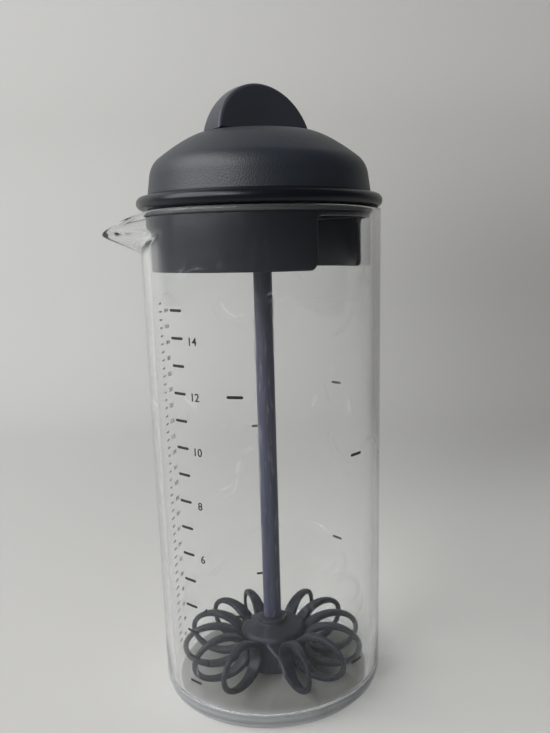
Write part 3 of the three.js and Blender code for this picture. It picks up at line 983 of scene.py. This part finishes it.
def domeGrid():
    outer = np.vstack(
        [
            [dome["seat"]],
            bezier(dome["wallTop"], dome["shoulderCorner"], dome["slopeStart"], dome["wallSteps"]),
            bezier(dome["slopeStart"], dome["slopeCorner"], dome["crownEdge"], dome["slopeSteps"])[1:],
            [dome["crown"]],
        ]
    )
    along = np.gradient(outer, axis=0)
    along /= np.linalg.norm(along, axis=1, keepdims=True)
    inner = outer + dome["wall"] * np.stack([-along[:, 1], along[:, 0]], -1)
    inner[0] = (dome["seat"][0] - dome["wall"], dome["seat"][1])
    crown = dome["crown"][1]
    under = crown - dome["wall"]
    inner[-1, 1] = under
    edge = dome["crown"][0] - dome["crownInset"]
    guide = filleted(
        [
            (edge, crown, 0),
            (dome["bore"], crown, dome["boreEdge"]),
            (dome["bore"], dome["counterboreTop"], dome["counterboreEdge"]),
            (dome["counterbore"], dome["counterboreTop"], dome["counterboreEdge"]),
            (dome["counterbore"], dome["guideEnd"], dome["guideInnerEdge"]),
            (dome["guideRadius"], dome["guideEnd"], dome["guideOuterEdge"]),
            (dome["guideRadius"], under, dome["guideFillet"]),
            (edge, under, 0),
        ]
    )
    return turned(np.vstack([outer, guide, inner[::-1]]))


collarGrids = [(collarGrid(), True, True)]
gridPiece("lidCollar", collarGrids, "lid", finishes["collar"], ["lid_collar"])
gridPiece("windowEdge", [(windowEdgeGrid(), False, True)], "lid", finishes["collar"])
gridPiece("lidDome", [(domeGrid(), True, True)], "lid", finishes["dome"], ["lid_dome"])


def ringGrid(node, inner, rounding):
    # a round ring of rectangular section with rounded edges, as high and wide as its node
    outer, bottom, top = reachOf(node), low(node), high(node)
    corners = [(inner, bottom), (outer, bottom), (outer, top), (inner, top)]
    return turned(filleted([(*corner, rounding) for corner in corners]))


gasketInner = gasket["outer"] - gasket["depth"]
gasketGrids = [(ringGrid("lid_gasket", gasketInner, gasket["rounding"]), True, True)]
sealGrids = [(ringGrid("stem_seal", dome["bore"], guideRings["sealRounding"]), True, True)]
retainerGrids = [(ringGrid("seal_retainer", dome["bore"], guideRings["retainerRounding"]), True, True)]
gridPiece("lidGasket", gasketGrids, "lid_carrier", finishes["gasket"], ["lid_gasket"])
gridPiece("stemSeal", sealGrids, "seal", finishes["seal"], ["stem_seal"])
gridPiece("sealRetainer", retainerGrids, "lid", finishes["collar"], ["seal_retainer"])


# Plunger

print("making the plunger")
plunger = {
    "stemRadius": 2.95,
    "tenonRadius": 1.9,
    "tenonLength": 8,
    "knobRadius": 17,
    "knobCentre": 174.3,
    "knobBase": 9.6,
    "knobTop": 4.2,
    "knobEdge": 1.0,
    "knobYaw": 34.6,
    "edgeRows": 9,
    "knobColumns": 97,
    "stemEdge": 0.4,
    "shoulderEdge": 0.1,
    "steps": 96,
}
whisk = {
    "low": low("whisk"),
    "hubRadius": 10.8,
    "hubSide": 12,
    "hubShoulder": 14.5,
    "hubRounding": 1.5,
    "hubLip": 0.6,  # by which the side's corner stands above its straight part
    "hubSideRounding": 2.0,
    "socketRadius": 4.9,
    "socketFillet": 0.8,
    "socketRounding": 0.4,
    "loopCentre": 20.2,
    "halfLength": 9.4,
    "halfHeight": 6.7,
    "tilt": 5,
    "thickness": 1.8,
    "rootWidth": 4.5,
    "tipWidth": 1.1,
    "edge": 0.5,
    "perGroup": 6,
    "groups": 2,
    "pitch": 25.7,
    "azimuth": -5.1,
    "loopSteps": 72,
    "edgeSteps": 4,
    "hubSteps": 96,
    "hubEdgeSteps": 8,
}


def stemGrid():
    bottom, top = low("stem"), high("stem")
    edge = plunger["stemEdge"]
    shoulderLow, shoulderHigh = bottom + plunger["tenonLength"], top - plunger["tenonLength"]
    profile = filleted(
        [
            (0, bottom, 0),
            (plunger["tenonRadius"], bottom, edge),
            (plunger["tenonRadius"], shoulderLow, plunger["shoulderEdge"]),
            (plunger["stemRadius"], shoulderLow, edge),
            (plunger["stemRadius"], shoulderHigh, edge),
            (plunger["tenonRadius"], shoulderHigh, plunger["shoulderEdge"]),
            (plunger["tenonRadius"], top, edge),
            (0, top, 0),
        ]
    )
    return turned(profile, plunger["steps"])


def knobGrid():
    # bands from one face to the other: the half-disc outline, smaller and set back at the edges
    bottom, top = low("knob"), high("knob")
    bend = np.linspace(0, quarter, plunger["edgeRows"])
    inset = plunger["knobEdge"] * (1 - np.sin(bend))
    back = plunger["knobEdge"] * (1 - np.cos(bend))
    inset = np.concatenate([inset, inset[::-1]])[:, None]
    back = np.concatenate([back, back[::-1]])[:, None]
    side = np.repeat([-1, 1], plunger["edgeRows"])[:, None]
    share = np.linspace(0, 1, plunger["knobColumns"])
    radius = plunger["knobRadius"] - inset
    lowest = np.arcsin((bottom + inset - plunger["knobCentre"]) / radius)
    angle = np.pi - lowest - (np.pi - 2 * lowest) * share
    x = radius * np.cos(angle)
    z = plunger["knobCentre"] + radius * np.sin(angle)

    def half(height):
        # half the knob's thickness, which falls in a straight line with the height
        risen = (height - bottom) / (top - bottom)
        return (plunger["knobBase"] + (plunger["knobTop"] - plunger["knobBase"]) * risen) / 2

    rows = np.stack([x, side * (half(z) - back), z], -1)
    # each face is closed by a line of its own from end to end, halfway up
    closing = []
    for row in (rows[0], rows[-1]):
        flat = row.copy()
        flat[:, 0] /= 2
        flat[:, 2] = (row[:, 2] + bottom) / 2
        flat[:, 1] = np.sign(row[:, 1]) * (half(flat[:, 2]) - plunger["knobEdge"])
        closing.append(np.stack([flat.mean(0) + 0 * flat, flat]))
    rows = np.concatenate([closing[0], rows, closing[1][::-1]])
    yaw = math.radians(plunger["knobYaw"])
    spin = np.array([[math.cos(yaw), math.sin(yaw), 0], [-math.sin(yaw), math.cos(yaw), 0], [0, 0, 1]])
    return rows @ spin


def whiskGrids():
    # each ring is a strip bent round an oval in a plane through the axis: a rounded section whose
    # width falls in a straight line from the root, beside the hub, to the tip
    tilt = math.radians(whisk["tilt"])
    thick = whisk["thickness"] / 2
    lowest = math.hypot(whisk["halfLength"] * math.sin(tilt), whisk["halfHeight"] * math.cos(tilt))
    centre = whisk["low"] + lowest + thick
    square = [(-1, -thick), (1, -thick), (1, thick), (-1, thick)]
    section = filleted([(*corner, whisk["edge"]) for corner in square], whisk["edgeSteps"])
    side, grow = np.sign(section[:, 0]), section[:, 1]
    inset = 1 - np.abs(section[:, 0])
    t = fullTurn(whisk["loopSteps"])[:, None]
    long = (whisk["halfLength"] + grow) * np.cos(t)
    tall = (whisk["halfHeight"] + grow) * np.sin(t)
    radius = whisk["loopCentre"] + long * math.cos(tilt) - tall * math.sin(tilt)
    height = centre + long * math.sin(tilt) + tall * math.cos(tilt)
    share = (radius - whisk["loopCentre"] + whisk["halfLength"]) / (2 * whisk["halfLength"])
    across = side * ((whisk["rootWidth"] + (whisk["tipWidth"] - whisk["rootWidth"]) * share) / 2 - inset)
    grids = []
    for group in range(whisk["groups"]):
        for i in range(whisk["perGroup"]):
            middle = whisk["azimuth"] + (group + 0.5) * 360 / whisk["groups"]
            a = math.radians(middle + (i - (whisk["perGroup"] - 1) / 2) * whisk["pitch"])
            x = radius * math.sin(a) + across * math.cos(a)
            y = -radius * math.cos(a) + across * math.sin(a)
            grids.append((np.stack([x, y, height], -1), True, True))
    sideTop = whisk["low"] + whisk["hubSide"] + whisk["hubLip"]
    shoulder = whisk["low"] + whisk["hubShoulder"]
    hub = filleted(
        [
            (0, whisk["low"], 0),
            (whisk["hubRadius"], whisk["low"], whisk["hubRounding"]),
            (whisk["hubRadius"], sideTop, whisk["hubSideRounding"]),
            (whisk["socketRadius"], shoulder, whisk["socketFillet"]),
            (whisk["socketRadius"], shoulder + whisk["hubRounding"], whisk["socketRounding"]),
            (0, shoulder + whisk["hubRounding"], 0),
        ],
        whisk["hubEdgeSteps"],
    )
    return grids + [(turned(hub, whisk["hubSteps"]), False, True)]


stemGrids = [(stemGrid(), False, True)]
knobGrids = [(knobGrid(), False, True)]
gridPiece("plungerStem", stemGrids, "plunger", finishes["stem"], ["stem"])
gridPiece("plungerKnob", knobGrids, "plunger", finishes["knob"], ["knob"])
gridPiece("whiskHead", whiskGrids(), "plunger", finishes["whisk"], ["whisk"])


# Studio

print("setting the studio")
studio = {
    "front": (0.12, 0.12, 0.12),  # painted shade: what reflections see of the floor in front
    "near": (0.5, 0.5, 0.49),
    # pale and highPale are the paper low and high up, the higher one paler as painted light; shade and
    # highShade are a painted shadow on the paper at the back on the right
    "pale": (0.465, 0.468, 0.46),
    "shade": (0.27, 0.267, 0.26),
    "highPale": (0.565, 0.565, 0.555),
    "highShade": (0.505, 0.5, 0.49),
    "width": 3.0,
    "frontEnd": -2.5,
    "back": 0.62,
    "curve": 0.28,
    "height": 1.6,
    "curveSteps": 24,
    "rough": 0.85,
    "tallRise": (0.08, 0.36),  # places along Z, Y, X and Y, between which the painted light and shade change
    "deepRise": (-0.02, 0.3),
    "rightRise": (-0.2, 0.35),
    "frontRise": (-0.3, -0.07),
    "world": (0.95, 0.975, 1.0),
    "worldLevel": 0.33,
    "mirroredLevel": 0.07,  # what the glossy parts mirror
}


def backdropFinish():
    # pale paper with painted light higher up, a painted shadow low down at the back on the right, and
    # painted shade on the floor in front that reflections see
    look = studio
    shop = materialShop("studioPaperPaintedShade")
    tall = shop.rise(shop.along("Z"), *look["tallRise"])
    deep = shop.rise(shop.along("Y"), *look["deepRise"])
    right = shop.rise(shop.along("X"), *look["rightRise"])
    path = shop.node("LightPath", {}, {}, "Is Camera Ray")
    seen = path + path.of("Is Transmission Ray") + shop.rise(shop.along("Y"), *look["frontRise"])
    # painted shade on the floor in front, for all rays but the camera's and those through the glass
    near = shop.blend(seen, look["front"], look["near"])
    # painted light: the paper paler higher up
    left = shop.blend(deep, near, shop.blend(tall, look["pale"], look["highPale"]))
    # painted shadow low down at the back on the right
    color = shop.blend(right * deep, left, shop.blend(tall, look["shade"], look["highShade"]))
    return shop.done(shop.principled(baseColor=color, roughness=look["rough"]))


def backdropGrid():
    # floor, a quarter circle and an upright back, carried along X
    bend = np.linspace(0, quarter, studio["curveSteps"])
    curveStart = studio["back"] - studio["curve"]
    y = [studio["frontEnd"], *(curveStart + studio["curve"] * np.sin(bend)), studio["back"]]
    z = [0, *(studio["curve"] * (1 - np.cos(bend))), studio["height"]]
    x = [-studio["width"] / 2, studio["width"] / 2]
    sides = np.broadcast_arrays(np.array(x)[None, :], np.array(y)[:, None], np.array(z)[:, None])
    return np.stack(sides, -1) / mm


gridPiece("studioSweep", [(backdropGrid(), False, False)], None, backdropFinish())


lamps = {
    "windowLamp": {"place": (-2.2, -0.8, 1.75), "aim": (0, 0, 0.1), "size": (2.6, 2.6), "power": 100},
    "frontLamp": {"place": (-0.8, -1.3, 1.0), "aim": (0, 0, 0.12), "size": (0.5, 0.5), "power": 8.5},
}
daylight = (1, 0.985, 0.965)


def areaLamp(name, place, aim, size, power):
    lamp = bpy.data.lights.new(name, "AREA")
    lamp.shape = "RECTANGLE"
    lamp.size, lamp.size_y = size
    lamp.energy = power
    lamp.color = daylight
    holder = addObject(name, lamp)
    holder.location = place
    holder.rotation_euler = (Vector(aim) - Vector(place)).to_track_quat("-Z", "Y").to_euler()


for lampName, values in lamps.items():
    areaLamp(lampName, **values)


def studioAir():
    # an even surround, darker where glossy pieces mirror it
    look = studio
    shop = Shop(bpy.data.worlds.new("studioAir"))
    glossy = shop.node("LightPath", {}, {}, "Is Glossy Ray")
    levels = {"Value": glossy, "To Min": look["worldLevel"], "To Max": look["mirroredLevel"]}
    level = shop.node("MapRange", {}, levels)
    air = shop.node("Background", {}, {"Color": (*look["world"], 1), "Strength": level})
    return shop.done(air, "World")


scene.world = studioAir()

view = {
    "focal": 746.87,  # pixels
    "sensor": 36,
    "nearest": 0.01,  # metres
    "frame": (550, 733),
    "middle": (306.13, 371.22),  # pixel of the optical axis
    "distance": 237.72,
    "height": 142.30,
    "pitch": 9.41,  # degrees down
    "yaw": 3.17,
    "roll": -1.19,
}


def placeCamera():
    eye = bpy.data.cameras.new("studioCamera")
    eye.sensor_fit = "VERTICAL"
    wide, tall = view["frame"]
    eye.sensor_height = view["sensor"]
    eye.lens = view["focal"] / tall * view["sensor"]
    eye.shift_x = (wide / 2 - view["middle"][0]) / tall
    eye.shift_y = (view["middle"][1] - tall / 2) / tall
    eye.clip_start = view["nearest"]
    holder = addObject("studioCamera", eye)
    pitch, yaw, roll = (math.radians(view[k]) for k in ("pitch", "yaw", "roll"))
    ahead = Vector((math.sin(yaw) * math.cos(pitch), math.cos(yaw) * math.cos(pitch), -math.sin(pitch)))
    right = Vector((math.cos(yaw), -math.sin(yaw), 0))
    up = right.cross(ahead)
    turnedRight = right * math.cos(roll) + up * math.sin(roll)
    turnedUp = up * math.cos(roll) - right * math.sin(roll)
    pose = Matrix((turnedRight, turnedUp, -ahead)).transposed().to_4x4()
    pose.translation = Vector((0, -view["distance"] * mm, view["height"] * mm))
    holder.matrix_world = pose
    scene.camera = holder


placeCamera()
scene.view_settings.view_transform = "Standard"
